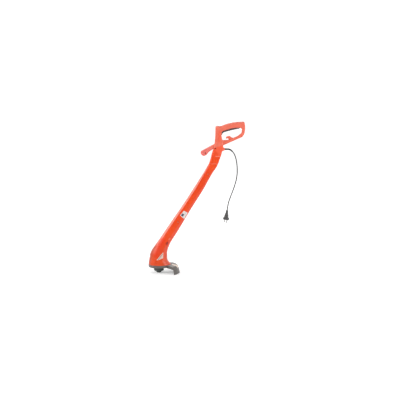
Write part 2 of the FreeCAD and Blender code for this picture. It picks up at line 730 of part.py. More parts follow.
def spun_ring(profile):
    face = Part.Face(rounded_outline(profile))
    solid = face.revolve(V(0, 0, 0), V(0, 0, 1), 360)
    return about_spindle(solid, 0)


def make_spool():
    shapes = [upright_ring(spool_core_r, spool_bore_r, spool_low_z, spool_top_z),
              upright_ring(spool_flange_r, spool_bore_r, spool_top_z - flange_h, spool_top_z),
              upright(spool_flange_r, spool_low_z, spool_low_z + flange_h),
              upright(spool_bore_r + 1, spool_low_z, spool_low_z + spool_floor_h)]
    return fuse_all(shapes)


def make_winding():
    return upright_ring(winding_r, spool_core_r, spool_low_z + flange_h, spool_top_z - flange_h)


def make_knob():
    profile = [(0, spool_low_z, 0), (knob_r, spool_low_z, 0), (knob_r, knob_shoulder_z, 5),
               (11, knob_low_z, 5), (0, knob_low_z, 0)]
    return spun_ring(profile)


def make_washer():
    low = spool_low_z + spool_floor_h + 0.3
    return upright_ring(spool_bore_r - 0.6, head_post_r + 0.5, low, low + washer_h)


def make_bump_spring():
    low = spool_low_z + spool_floor_h + 0.3 + washer_h
    length = head_top_z - head_plate - low
    return spring_coil(spool_bore_r - 0.8, 0.8, length, 4, (spindle_x, 0, low), V(0, 0, 1))


# ---------------------------------------------------------------- trigger and switch
switch_x0, switch_x1 = -26.0, 4.0
switch_z0, switch_z1 = -3.0, 11.0
switch_half_width = 8.0
plunger_x = -12.0
plunger_r = 2.5
plunger_travel = (pivot_x - plunger_x) * math.radians(trigger_travel_deg)
trigger_web_gap = 0.3


def trigger_top_z(x):
    """Height of the trigger's web under the plunger."""
    (x0, z0, _), (x1, z1, _) = trigger_outline[3], trigger_outline[4]
    return z0 + (x - x0) * (z1 - z0) / (x1 - x0)


def make_trigger():
    lever = prism(trigger_outline, trigger_half_width)
    rims = [e for e in lever.Edges if abs(abs(e.CenterOfMass.y) - trigger_half_width) < 1e-4]
    lever = lever.makeFillet(1.2, rims)
    eye = cylinder(pivot_eye_r, 2 * trigger_half_width, (pivot_x, -trigger_half_width, pivot_z),
                   V(0, 1, 0))
    bore = cylinder(pivot_pin_r + run_gap, 40, (pivot_x, -20, pivot_z), V(0, 1, 0))
    seat = cylinder(spring_r + 1, 20, (spring_x, 0, spring_seat_z))
    return lever.fuse(eye).cut(bore).cut(seat)


def make_trigger_pin():
    return cylinder(pivot_pin_r, 2 * pivot_pin_half, (pivot_x, -pivot_pin_half, pivot_z),
                    V(0, 1, 0))


def make_trigger_spring():
    length = spring_top_z - spring_seat_z
    return spring_coil(spring_r, spring_wire_r, length, 6, (spring_x, 0, spring_seat_z), V(0, 0, 1))


def make_switch():
    body = block(switch_x0, switch_x1, -switch_half_width, switch_half_width, switch_z0, switch_z1)
    well = cylinder(plunger_r + 0.1, plunger_travel + 4, (plunger_x, 0, switch_z0 - 1))
    return body.cut(well)


def make_plunger():
    low = trigger_top_z(plunger_x) + trigger_web_gap
    top = switch_z0 + 2.0
    return cylinder(plunger_r, top - low, (plunger_x, 0, low))


def add_switch_cradle(left, right):
    """Ribs from the shells' walls that hold the switch and the capacitor."""
    reach = grip_half_depth - wall + 0.4
    x0, x1 = switch_x0 + 4, switch_x1 - 4
    z0, z1 = switch_z0 + 5, switch_z0 + 11
    left = left.fuse(block(x0, x1, -reach, -switch_half_width - 0.05, z0, z1))
    right = right.fuse(block(x0, x1, switch_half_width + 0.05, reach, z0, z1))
    left = left.fuse(block(clamp_x0, clamp_x1, -reach, -lead_r, clamp_z0, clamp_z1))
    for x in clamp_screw_xs:
        pilot = cylinder(clamp_screw_r, 12, (x, -12 - lead_r, (clamp_z0 + clamp_z1) / 2), V(0, 1, 0))
        left = left.cut(pilot)
    return left, right


# ---------------------------------------------------------------- cord clamp
clamp_x0, clamp_x1 = -86.5, -69.5
clamp_z0, clamp_z1 = -137.0, -128.0
clamp_screw_xs = (-83.5, -72.5)
clamp_screw_r = 1.3
clamp_bar_h = 3.0


def make_clamp_bar():
    bar = block(clamp_x0, clamp_x1, lead_r, lead_r + clamp_bar_h, clamp_z0, clamp_z1)
    for x in clamp_screw_xs:
        hole = cylinder(clamp_screw_r + 0.1, 20, (x, -5, (clamp_z0 + clamp_z1) / 2), V(0, 1, 0))
        bar = bar.cut(hole)
    return bar


def make_clamp_screws():
    screws = []
    seat = lead_r + clamp_bar_h
    for x in clamp_screw_xs:
        z = (clamp_z0 + clamp_z1) / 2
        head = cylinder(2.4, 1.6, (x, seat, z), V(0, 1, 0))
        screws.append(head.fuse(cylinder(clamp_screw_r - 0.05, seat + 9, (x, seat, z), V(0, -1, 0))))
    return screws


# ---------------------------------------------------------------- tubes along a route
def tube(points, radius, report=None):
    """Round tube along straight runs joined by arcs as large as the runs allow."""
    places = [V(*p) for p in points]
    edges = []
    radii = []
    start = places[0]
    for before, here, after in zip(places, places[1:], places[2:]):
        in_run, out_run = here - before, after - here
        half_turn = in_run.getAngle(out_run) / 2
        reach = 0.45 * min(in_run.Length, out_run.Length)
        radius_here = reach / math.tan(half_turn)
        radii.append(radius_here)
        in_dir, out_dir = V(in_run).normalize(), V(out_run).normalize()
        arc_start, arc_end = here - in_dir * reach, here + out_dir * reach
        towards_centre = (out_dir - in_dir).normalize()
        middle = here + towards_centre * (radius_here / math.cos(half_turn) - radius_here)
        edges.append(Part.LineSegment(start, arc_start).toShape())
        edges.append(Part.Arc(arc_start, middle, arc_end).toShape())
        start = arc_end
    edges.append(Part.LineSegment(start, places[-1]).toShape())
    path = Part.Wire(edges)
    first_dir = (places[1] - places[0]).normalize()
    section = Part.Wire(Part.makeCircle(radius, places[0], first_dir))
    solid = path.makePipeShell([section], True, True)
    if report:
        print("%s length %.1f  tightest radius %.1f  volume against section times length %.4f"
              % (report, path.Length, min(radii), solid.Volume / (math.pi * radius ** 2 * path.Length)))
        print("  radii " + " ".join("%.0f" % r for r in radii))
    return solid


relief_flange_x = -65.0
relief_tip_x = -20.0
relief_mouth_r = 4.4
relief_tip_r = 3.5
supply_route = [
    (relief_flange_x, 0, cord_exit_z), (-72, 0, cord_exit_z), (-78, 0, -138.5), (-78.3, 0, -124),
    (-80, 0, -90), (-81, 0, -45), (-75, 3, -18), (-61, 8.5, -8), (-38, 9.6, 1.5), (-30.5, 5, 5),
    (switch_x0, 5, 5)]
motor_route = [
    (switch_x0, -5, 5), (-30.5, -5, 5), (-38, -9.6, 1.5), (-61, -8.5, -8), (-80, -7, -20),
    (-90, -5, -55), (-90.5, 0, -105), (-89.6, 0, -134), (-83, 0, -158), (-85, 0, -186),
    (-98, 0, -222), (-116, 0, -258), (-132, 0, -300), (-171, 0, -350), (-240, 0, -460),
    (-313, 0, -600), (-368, 0, -678), (-412, 0, -722), (-430, 0, -752),
    (-430, 0, upper_plate_z + upper_plate_h)]
cord_route = [
    (relief_tip_x, 0, cord_exit_z), (-10, 0, cord_exit_z), (-0.1, 0, -147.9), (8.8, 0, -155.9),
    (17.3, 0, -170.6), (27.2, 0, -201), (34.4, 0, -246.5), (36.0, 0, -293), (29, 0, -342),
    (13, 0, -393), (-6.5, 0, -444)]

# ---------------------------------------------------------------- plug
plug_face = V(-34.1, 0, -587.4)
plug_tilt_deg = 7.2
plug_face_r = 19.0
plug_face_h = 9.0
plug_waist_r = 13.6
plug_neck_r = 7.8
plug_neck_z = 44.0
plug_length = 59.0
plug_tail_r = 5.6
pin_r = 2.4
pin_length = 19.0
pin_pitch = 19.0
pin_root_r = 2.0            # moulded into the plug
pin_root_h = 8.0
pin_neck_h = 0.5            # of the root, clear of the plug's face
pin_turn_deg = -45.0        # turn of the pins' line about the plug's axis
earth_notch_r = 3.4


def on_plug(shape):
    """Place a shape drawn with the plug's face at z = 0 and its cord upwards."""
    placed = shape.copy()
    placed.rotate(V(0, 0, 0), V(0, 0, 1), pin_turn_deg)
    placed.rotate(V(0, 0, 0), V(0, 1, 0), plug_tilt_deg)
    placed.translate(plug_face)
    return placed


def plug_point(x, y, z):
    return on_plug(Part.Vertex(x, y, z)).Point


def make_plug_body():
    profile = [
        (0, 0, 0), (plug_face_r, 0, 1), (plug_face_r + 0.3, plug_face_h, 2),
        (plug_waist_r, plug_face_h + 6, 6), (plug_waist_r - 2.2, 33, 8),
        (plug_neck_r, plug_neck_z - 4, 4), (plug_neck_r, plug_neck_z, 4),
        (plug_tail_r, plug_length, 0), (0, plug_length, 0)]
    face = Part.Face(rounded_outline(list(reversed(profile))))
    body = face.revolve(V(0, 0, 0), V(0, 0, 1), 360)
    for side in (-1, 1):
        notch = cylinder(earth_notch_r, plug_face_h + 3, (0, side * (plug_face_r + 0.6), -1))
        body = body.cut(notch)
        body = body.cut(cylinder(pin_root_r, pin_root_h, (side * pin_pitch / 2, 0, 0)))
    for i in range(4):
        z = plug_neck_z + 1 + 3.6 * i
        outer_r = plug_neck_r + 1
        body = body.cut(ring(outer_r, plug_neck_r - 2.0 - 0.25 * i, 1.4, (0, 0, z)))
    return on_plug(body)


def make_plug_pins():
    pins = []
    for side in (-1, 1):
        x = side * pin_pitch / 2
        rod = cylinder(pin_r, pin_length - 1 - pin_neck_h, (x, 0, -(pin_length - 1)))
        root = cylinder(pin_root_r, pin_root_h + pin_neck_h, (x, 0, -pin_neck_h))
        tip = cone(pin_r - 0.9, pin_r, 1, (x, 0, -pin_length))
        pins.append(on_plug(fuse_all([rod, root, tip])))
    return pins


def make_cord():
    into_plug = [tuple(plug_point(0, 0, plug_length + 42)), tuple(plug_point(0, 0, plug_length))]
    return tube(cord_route + into_plug, cord_r, "mains cord")


def make_strain_relief():
    flange = cylinder(relief_r + 1.1, 2.6, (relief_flange_x, 0, cord_exit_z), V(1, 0, 0))
    body = cylinder(relief_r, boss_tip_x - relief_flange_x, (relief_flange_x, 0, cord_exit_z),
                    V(1, 0, 0))
    sleeve = cone(relief_mouth_r, relief_tip_r, relief_tip_x - boss_tip_x,
                  (boss_tip_x, 0, cord_exit_z), V(1, 0, 0))
    relief = fuse_all([flange, body, sleeve])
    for i in range(4):
        x = boss_tip_x + 4 + 4.2 * i
        relief = relief.cut(ring(8, 3.3, 1.3, (x, 0, cord_exit_z), V(1, 0, 0)))
    return relief


# ---------------------------------------------------------------- labels
label_h = 0.4
label_gap = 0.1             # adhesive under a label
guard_label_r = 84.0
guard_label_low_z = base_z - 17.0
guard_label_sector = (-19, -1)
shaft_label_corners = [(-295, -527, 1.5), (-272, -541.5, 1.5), (-293.3, -581, 1.5),
                       (-318.5, -557.5, 1.5)]
motor_label_corners = [(-423.5, -785, 1.5), (-424.5, -823, 1.5), (-468.5, -837, 1.5)]


def label_on_shaft(corners):
    skin = egg_loft(shaft_stations, label_gap + label_h).cut(egg_loft(shaft_stations, label_gap))
    return left_half(skin.common(prism(corners, far)))


def make_guard_label():
    solid_guard = [(60, base_z, 0)] + skirt_outside + [(60, skirt_bottom_z, 0)]
    start, end = guard_label_sector
    proud = spun_sector(inset(solid_guard, -label_gap - label_h), start, end)
    skin = proud.cut(spun_sector(inset(solid_guard, -label_gap), start - 4, end + 4))
    return skin.common(upright_ring(far, guard_label_r, guard_label_low_z, 0))


capacitor_x, capacitor_z = -88.0, -62.0
capacitor_width, capacitor_depth, capacitor_height = 12.0, 10.35, 18.0


def make_capacitor():
    face_y = grip_half_depth - wall - 0.05
    return block(capacitor_x, capacitor_x + capacitor_width, face_y - capacitor_depth, face_y,
                 capacitor_z, capacitor_z + capacitor_height)


# ---------------------------------------------------------------- the whole trimmer
def make_joint_screw():
    x, z = joint_screw_place
    seat_y = grip_half_depth - column_step
    return fastener(x, z, seat_y, seat_y + neck_half_width, 1)


left_handle, right_handle = make_handle_shells()
left_handle, right_handle = add_switch_cradle(left_handle, right_handle)
left_shaft, right_shaft = make_shaft_shells()
left_shaft, right_shaft = add_guard_bosses(left_shaft, right_shaft, egg_loft(shaft_stations))
holders, brushes, brush_springs = make_brush_parts()
guard_seats = guard_fasteners(guard_screw_r, guard_screw_angles)
motor_seats = guard_fasteners(motor_screw_r, motor_screw_angles)

nodes = {
    "left_handle_shell": left_handle,
    "right_handle_shell": right_handle,
    "left_shaft_shell": left_shaft,
    "right_shaft_shell": right_shaft,
    "handle_screws": [shell_screw(place, -1) for place in handle_screw_places]
                     + [shell_screw(rear_screw_place, 1)],
    "shaft_screws": [shell_screw(place, -1) for place in shaft_screw_places],
    "joint_screw": make_joint_screw(),
    "trigger": make_trigger(),
    "trigger_pin": make_trigger_pin(),
    "trigger_spring": make_trigger_spring(),
    "switch_body": make_switch(),
    "switch_plunger": make_plunger(),
    "capacitor": make_capacitor(),
    "supply_lead": tube(supply_route, lead_r),
    "motor_lead": tube(motor_route, lead_r),
    "clamp_bar": make_clamp_bar(),
    "clamp_screws": make_clamp_screws(),
    "strain_relief": make_strain_relief(),
    "power_cord": make_cord(),
    "plug_body": make_plug_body(),
    "plug_pins": make_plug_pins(),
    "guard": make_guard(),
    "guard_screws": [screw_up(x, y, guard_wall + guard_screw_depth) for x, y in guard_seats],
    "motor_screws": [screw_up(x, y, guard_wall + lower_plate_h) for x, y in motor_seats],
    "line_cutter": make_cutter(),
    "cutter_rivet": make_cutter_rivet(),
    "lower_motor_bracket": make_lower_bracket(),
    "upper_motor_bracket": make_upper_bracket(),
    "lower_bearing": upright_ring(bearing_r, shaft_r + run_gap, lower_bearing_z,
                                  lower_bearing_z + bearing_h - 0.5),
    "upper_bearing": upright_ring(bearing_r, shaft_r + run_gap, upper_plate_z + 2,
                                  upper_plate_z + 2 + bearing_h - 0.5),
    "stator_core": make_stator(),
    "field_coils": make_field_coils(),
    "brush_holders": holders,
    "brushes": brushes,
    "brush_springs": brush_springs,
    "motor_shaft": upright(shaft_r, shaft_low_z, shaft_high_z),
    "armature_core": upright_ring(armature_r, shaft_r, stack_low_z, stack_high_z),
    "armature_windings": make_armature_windings(),
    "commutator": upright_ring(commutator_r, shaft_r, commutator_z, commutator_z + commutator_h),
    "fan": make_fan(),
    "head_housing": make_head_housing(),
    "head_cover": make_head_cover(),
    "line_eyelets": make_eyelets(),
    "spring_washer": make_washer(),
    "bump_spring": make_bump_spring(),
    "spool": make_spool(),
    "line_winding": make_winding(),
    "bump_knob": make_knob(),
    "shaft_label": label_on_shaft(shaft_label_corners),
    "motor_label": label_on_shaft(motor_label_corners),
    "guard_label": make_guard_label(),
}
for name, shape in nodes.items():
    save(name, Part.Compound(shape) if isinstance(shape, list) else shape)
for side in (-1, 1):
    print("plug pin root", [round(v, 3) for v in plug_point(side * pin_pitch / 2, 0, 0)])
print("plug axis", [round(v, 5) for v in (plug_point(0, 0, -1) - plug_point(0, 0, 0))])
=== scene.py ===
import math

import bmesh
import bpy
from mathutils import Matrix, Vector
from mathutils.bvhtree import BVHTree


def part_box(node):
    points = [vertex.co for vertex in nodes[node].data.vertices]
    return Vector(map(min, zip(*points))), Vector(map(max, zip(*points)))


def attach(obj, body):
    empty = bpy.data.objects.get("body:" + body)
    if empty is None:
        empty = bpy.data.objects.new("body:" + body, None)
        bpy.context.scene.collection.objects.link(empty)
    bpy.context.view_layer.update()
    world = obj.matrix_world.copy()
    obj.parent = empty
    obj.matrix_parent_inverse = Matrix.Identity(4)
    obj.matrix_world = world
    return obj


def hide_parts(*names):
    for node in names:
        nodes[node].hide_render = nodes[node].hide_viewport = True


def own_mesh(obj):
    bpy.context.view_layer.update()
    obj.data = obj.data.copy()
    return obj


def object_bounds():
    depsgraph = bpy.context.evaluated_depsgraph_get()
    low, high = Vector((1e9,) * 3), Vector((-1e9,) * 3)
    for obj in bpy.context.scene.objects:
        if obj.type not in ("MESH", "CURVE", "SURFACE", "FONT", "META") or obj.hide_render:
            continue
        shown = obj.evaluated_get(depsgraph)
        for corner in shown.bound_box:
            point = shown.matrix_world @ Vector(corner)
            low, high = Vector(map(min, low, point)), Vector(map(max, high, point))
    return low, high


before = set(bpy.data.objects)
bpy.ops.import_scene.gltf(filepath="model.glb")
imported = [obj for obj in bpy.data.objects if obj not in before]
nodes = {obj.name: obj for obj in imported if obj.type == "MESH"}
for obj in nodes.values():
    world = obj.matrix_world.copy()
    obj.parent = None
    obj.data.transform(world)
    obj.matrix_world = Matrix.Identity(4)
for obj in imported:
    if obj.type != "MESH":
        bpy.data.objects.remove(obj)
cad_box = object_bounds()
scene = bpy.context.scene
scene.view_settings.view_transform = "Standard"

MM = 0.001
FLOOR_Z = cad_box[0][2] - 0.5 * MM
SPINDLE_X = -452 * MM
LAMP_TARGET = (-0.2, 0, -0.45)


# ------------------------------------------------------------------ camera
def aim(obj, target):
    obj.rotation_euler = (Vector(target) - obj.location).to_track_quat("-Z", "Y").to_euler()


camera_target = Vector((-0.1953, 0.0, -0.464))
camera_elevation = math.radians(10.7)
camera_distance = 12.0
camera = bpy.data.objects.new("camera", bpy.data.cameras.new("camera"))
scene.collection.objects.link(camera)
camera.location = camera_target + camera_distance * Vector(
    (0, -math.cos(camera_elevation), math.sin(camera_elevation)))
camera.data.lens = 174.0
camera.data.sensor_width = 36.0
camera.data.clip_end = 200.0
aim(camera, camera_target)
scene.camera = camera


# ------------------------------------------------------------------ small makers
def link(obj):
    scene.collection.objects.link(obj)
    return obj


def rest_on(obj, body):
    """Make a piece move with a body."""
    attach(obj, body)
    return obj


def skin_rings(bm, rings):
    """Join a row of rings of points and cap both ends, which makes one closed solid."""
    rows = [[bm.verts.new(p) for p in ring] for ring in rings]
    for a, b in zip(rows, rows[1:]):
        for i in range(len(a)):
            bm.faces.new((a[i], a[i - 1], b[i - 1], b[i]))
    bm.faces.new(rows[0][::-1])
    bm.faces.new(rows[-1])


def solid(name, bm, material):
    """The finished object of a bmesh, with its faces turned outwards."""
    bmesh.ops.recalc_face_normals(bm, faces=bm.faces)
    mesh = bpy.data.meshes.new(name)
    bm.to_mesh(mesh)
    bm.free()
    mesh.materials.append(material)
    return link(bpy.data.objects.new(name, mesh))


# ------------------------------------------------------------------ materials
class Nodes:
    """A short way to build one material's node tree."""

    def __init__(self, name):
        self.material = bpy.data.materials.new(name)
        self.material.use_nodes = True
        self.tree = self.material.node_tree
        self.shader = self.tree.nodes["Principled BSDF"]
        self.coords = self.add("ShaderNodeTexCoord").outputs["Object"]

    def add(self, kind, **values):
        node = self.tree.nodes.new(kind)
        for key, value in values.items():
            if key in node.inputs:
                node.inputs[key].default_value = value
            else:
                setattr(node, key, value)
        return node

    def join(self, source, target):
        self.tree.links.new(source, target)

    def scaled(self, stretch):
        mapping = self.add("ShaderNodeMapping")
        mapping.inputs["Scale"].default_value = stretch
        self.join(self.coords, mapping.inputs["Vector"])
        return mapping.outputs["Vector"]

    def noise(self, scale, detail=3.0, rough=0.5, stretch=None):
        node = self.add("ShaderNodeTexNoise", Scale=scale, Detail=detail, Roughness=rough)
        self.join(self.scaled(stretch) if stretch else self.coords, node.inputs["Vector"])
        return node.outputs["Fac"]

    def ramp(self, source, low, high, dark, bright):
        node = self.add("ShaderNodeMapRange")
        for key, value in (("From Min", low), ("From Max", high), ("To Min", dark), ("To Max", bright)):
            node.inputs[key].default_value = value
        self.join(source, node.inputs["Value"])
        return node.outputs["Result"]

    def math(self, operation, a, b=None):
        node = self.add("ShaderNodeMath", operation=operation)
        for socket, value in zip(node.inputs, (a, b)):
            if hasattr(value, "links"):
                self.join(value, socket)
            elif value is not None:
                socket.default_value = value
        return node.outputs[0]

    def mix(self, factor, a, b):
        node = self.add("ShaderNodeMix", data_type="RGBA")
        for index, value in ((0, factor), (6, a), (7, b)):
            if hasattr(value, "links"):
                self.join(value, node.inputs[index])
            elif index:
                node.inputs[index].default_value = (*value, 1.0)
            else:
                node.inputs[index].default_value = value
        return node.outputs[2]

    def axis(self, name, source=None):
        split = self.add("ShaderNodeSeparateXYZ")
        self.join(source or self.coords, split.inputs[0])
        return split.outputs[name]

    def turned(self, centre, degrees):
        """Coordinates in millimetres from a place, turned about Y to lie along a label."""
        mapping = self.add("ShaderNodeMapping", vector_type="TEXTURE")
        mapping.inputs["Location"].default_value = [v * MM for v in centre]
        mapping.inputs["Rotation"].default_value = (0, math.radians(degrees), 0)
        mapping.inputs["Scale"].default_value = (MM, MM, MM)
        self.join(self.coords, mapping.inputs["Vector"])
        return mapping.outputs["Vector"]

    def band(self, value, low, high, soft):
        """1 between low and high, 0 outside, with soft borders."""
        rise = self.ramp(value, low - soft, low + soft, 0.0, 1.0)
        fall = self.ramp(value, high - soft, high + soft, 1.0, 0.0)
        return self.math("MULTIPLY", rise, fall)

    def patch(self, place, x_range, z_range, soft=0.25):
        across = self.band(self.axis("X", place), *x_range, soft)
        return self.math("MULTIPLY", across, self.band(self.axis("Z", place), *z_range, soft))

    def beyond(self, line):
        """How far a place lies to the +X side of a line of (x, z) points in mm, in metres."""
        xs, zs = zip(*line)
        low, high = (min(xs), min(zs)), (max(xs), max(zs))
        node = self.add("ShaderNodeFloatCurve")
        curve = node.mapping.curves[0]
        places = sorted(((z - low[1]) / (high[1] - low[1]), (x - low[0]) / (high[0] - low[0]))
                        for x, z in line)
        curve.points[0].location, curve.points[1].location = places[0], places[-1]
        for place in places[1:-1]:
            curve.points.new(*place)
        for point in curve.points:
            point.handle_type = "VECTOR"
        node.mapping.update()
        self.join(self.ramp(self.axis("Z"), low[1] * MM, high[1] * MM, 0.0, 1.0), node.inputs["Value"])
        line_x = self.ramp(node.outputs["Value"], 0.0, 1.0, low[0] * MM, high[0] * MM)
        return self.math("SUBTRACT", self.axis("X"), line_x)

    def facing_up(self, low, high, strength):
        """0 on undersides and walls, rising to strength on faces that look up."""
        normal = self.add("ShaderNodeNewGeometry").outputs["Normal"]
        return self.ramp(self.axis("Z", normal), low, high, 0.0, strength)

    def edges(self, radius):
        """1 on sharp edges and 0 on flat or gently curved faces."""
        bevel = self.add("ShaderNodeBevel", samples=4, Radius=radius)
        plain = self.add("ShaderNodeNewGeometry").outputs["Normal"]
        dot = self.add("ShaderNodeVectorMath", operation="DOT_PRODUCT")
        self.join(bevel.outputs["Normal"], dot.inputs[0])
        self.join(plain, dot.inputs[1])
        return self.ramp(dot.outputs["Value"], 0.93, 0.998, 1.0, 0.0)

    def paint(self, value):
        socket = self.shader.inputs["Base Color"]
        if hasattr(value, "links"):
            self.join(value, socket)
        else:
            socket.default_value = (*value, 1.0)

    def set(self, **values):
        names = {"rough": "Roughness", "metal": "Metallic", "specular": "Specular IOR Level"}
        for key, value in values.items():
            socket = self.shader.inputs[names[key]]
            if hasattr(value, "links"):
                self.join(value, socket)
            else:
                socket.default_value = value

    def bump(self, height, distance, strength=1.0, under=None):
        node = self.add("ShaderNodeBump", Strength=strength, Distance=distance)
        self.join(height, node.inputs["Height"])
        if under is not None:
            self.join(under, node.inputs["Normal"])
        return node.outputs["Normal"]

    def finish(self, normal=None):
        if normal is not None:
            self.join(normal, self.shader.inputs["Normal"])
        return self.material


def linear(code):
    """A hex colour such as e5562e as linear RGB."""
    parts = [int(code[i:i + 2], 16) / 255 for i in (0, 2, 4)]
    return tuple(c / 12.92 if c <= 0.04045 else ((c + 0.055) / 1.055) ** 2.4 for c in parts)


def lighter(colour, gain, lift=0.0):
    return tuple(min(1.0, c * gain + lift) for c in colour)


def moulded_plastic(name, colour, shade, rough, grain, seam=False, specular=0.5, wear_and_sheen=0.25,
                    painted_highlight_bands=(), region=None, zones=(), patches=(), marks=(), dust_and_top_highlight=None,
                    grime_and_low_shade=None):
    """Injection-moulded plastic.

    It has an eroded grain, slow colour drift, hairline scuffs and paler edges, which are partly
    wear and partly a painted highlight.  The rest is optional, with lengths in millimetres:
    - seam: the parting line at y = 0
    - painted_highlight_bands: (x range, z range, strength) of level strips of painted highlight
    - region: (half-planes, colour, line, deeper colour) of painted shade: a part drawn deeper than
      the rest, and deepest of all on the -X side of the line; a half-plane is (x share, z share,
      limit, softness)
    - zones: (line, distances from it, strengths there, colour)
    - patches: (centre, degrees, x range, z range, softness, strength, colour)
    - marks: patches on the left side alone
    - dust_and_top_highlight: (strength, colour) of a painted highlight on faces that look up
    - grime_and_low_shade: (height where it starts, height where it is full, strength) of
      painted shade, blotchy and darker towards the bottom
    """
    m = Nodes(name)
    drift = m.ramp(m.noise(9, 3, 0.55), 0.3, 0.7, 0.0, 1.0)
    paint = m.mix(drift, colour, shade)
    # painted shade: the region is drawn a deeper colour, deepest on the -X side of its line
    if region:
        half_planes, deep, line, deeper = region
        deep = m.mix(m.ramp(m.beyond(line), -12 * MM, 6 * MM, 0.85, 0.0), deep, deeper)
        inside = None
        for along_x, along_z, limit, soft in half_planes:
            lean = m.math("ADD", m.math("MULTIPLY", m.axis("X"), along_x),
                          m.math("MULTIPLY", m.axis("Z"), along_z))
            side = m.ramp(lean, (limit - soft) * MM, (limit + soft) * MM, 0.0, 1.0)
            inside = side if inside is None else m.math("MULTIPLY", inside, side)
        paint = m.mix(inside, paint, deep)
    # painted highlight and painted shade along lines
    for line, distances, strengths, tint in zones:
        away = m.beyond(line)
        steps = [m.ramp(away, a * MM, b * MM, s, t)
                 for a, b, s, t in zip(distances, distances[1:], strengths, strengths[1:])]
        level = steps[0]
        for step, start in zip(steps[1:], distances[1:]):
            reached = m.math("GREATER_THAN", away, start * MM)
            level = m.math("ADD", m.math("MULTIPLY", reached, step),
                           m.math("MULTIPLY", m.math("SUBTRACT", 1.0, reached), level))
        paint = m.mix(level, paint, tint)
    # painted highlight and painted shade in patches, and a painted shadow among the left-side marks
    left = m.ramp(m.axis("Y"), -1.0 * MM, 0.0, 1.0, 0.0)
    spots = [(1.0, patch) for patch in patches] + [(left, mark) for mark in marks]
    for side, (centre, degrees, x_range, z_range, soft, strength, tint) in spots:
        level = m.math("MULTIPLY", m.patch(m.turned(centre, degrees), x_range, z_range, soft), side)
        paint = m.mix(m.math("MULTIPLY", level, strength), paint, tint)
    # painted highlight: faces that look up are drawn paler
    if dust_and_top_highlight:
        strength, tint = dust_and_top_highlight
        paint = m.mix(m.facing_up(0.1, 0.5, strength), paint, tint)
    scuffs = m.ramp(m.noise(110, 5, 0.65, (1, 1, 0.2)), 0.64, 0.8, 0.0, 0.25)
    paint = m.mix(scuffs, paint, lighter(colour, 1.25, 0.05))
    hairlines = m.ramp(m.noise(420, 2, 0.5, (0.06, 1, 1)), 0.70, 0.76, 0.0, 0.3)
    paint = m.mix(hairlines, paint, lighter(colour, 1.35, 0.07))
    # paler edges: partly wear and partly a painted highlight
    broken = m.ramp(m.noise(160, 4, 0.6), 0.35, 0.65, 0.15, 1.0)
    rubbed_and_lit_edges = m.math("MULTIPLY", m.edges(0.9 * MM), m.math("MULTIPLY", broken, wear_and_sheen))
    paint = m.mix(rubbed_and_lit_edges, paint, lighter(colour, 1.5, 0.12))
    # painted highlight: level strips drawn paler where a ledge or flat face catches the light
    for x_range, z_range, strength in painted_highlight_bands:
        level = m.math("MULTIPLY", m.band(m.axis("Z"), *(v * MM for v in z_range), 0.4 * MM),
                       m.band(m.axis("X"), *(v * MM for v in x_range), 3.0 * MM))
        paint = m.mix(m.math("MULTIPLY", level, strength), paint, lighter(colour, 1.3, 0.14))
    # painted shade: blotchy and darker towards the bottom, in colour 8a4a2c
    if grime_and_low_shade:
        start, full, strength = grime_and_low_shade
        low = m.ramp(m.axis("Z"), full * MM, start * MM, strength, 0.0)
        blotch = m.ramp(m.noise(26, 5, 0.65), 0.3, 0.7, 0.5, 1.0)
        paint = m.mix(m.math("MULTIPLY", low, blotch), paint, linear("8a4a2c"))
    normal = m.bump(m.noise(1400, 2, 0.6), grain, 0.6)
    if seam:
        side = m.math("ABSOLUTE", m.axis("Y"))
        line = m.ramp(side, 0.12 * MM, 0.45 * MM, 1.0, 0.0)
        paint = m.mix(m.math("MULTIPLY", line, 0.75), paint, lighter(colour, 0.25))
        normal = m.bump(m.math("SUBTRACT", 1.0, line), 0.4 * MM, 0.7, normal)
    m.paint(paint)
    m.set(rough=m.ramp(m.noise(45, 4, 0.6), 0.3, 0.7, rough - 0.06, rough + 0.08), specular=specular)
    return m.finish(normal)


def rubber(name, colour, rough=0.5, specular=0.5):
    """PVC sheath: soft sheen with faint lengthwise drawing marks and dust."""
    m = Nodes(name)
    dust_and_top_highlight = m.ramp(m.noise(60, 5, 0.6), 0.5, 0.8, 0.0, 0.3)
    m.paint(m.mix(dust_and_top_highlight, colour, tuple(min(1, c * 1.7 + 0.02) for c in colour)))
    m.set(rough=m.ramp(m.noise(120, 3), 0.3, 0.7, rough - 0.07, rough + 0.1), specular=specular)
    return m.finish(m.bump(m.noise(900, 3, 0.6), 0.06 * MM, 0.5))


def metal(name, colour, rough, stretch=(1, 1, 1), scale=600, tarnish=0.3):
    """Metal with a fine brushed or turned grain and patches of tarnish."""
    m = Nodes(name)
    patches = m.ramp(m.noise(90, 4, 0.6), 0.45, 0.75, 0.0, tarnish)
    m.paint(m.mix(patches, colour, tuple(c * 0.45 for c in colour)))
    grain = m.noise(scale, 3, 0.6, stretch)
    m.set(metal=1.0, rough=m.ramp(grain, 0.3, 0.7, rough - 0.08, rough + 0.12))
    return m.finish(m.bump(grain, 0.03 * MM, 0.35))


# (x, z) lines on the shaft: the rail's inner edge, the start of the rear flank, and the edge of
# the painted shade on the front
rail_line = [(-137, -190), (-146, -238), (-151, -262), (-216.4, -379), (-297.5, -505),
             (-365.8, -605.7), (-416.1, -681), (-452, -731.6), (-486, -775), (-507, -812),
             (-530, -817)]
rear_line = [(-50, -190), (-75, -240), (-119, -282), (-178, -379), (-258, -505), (-322, -605.7),
             (-370, -681), (-406, -738), (-421.6, -771), (-421, -820), (-412, -872)]
head_line = [(-700, -660), (-460, -700), (-470, -755), (-486, -790), (-507, -872)]
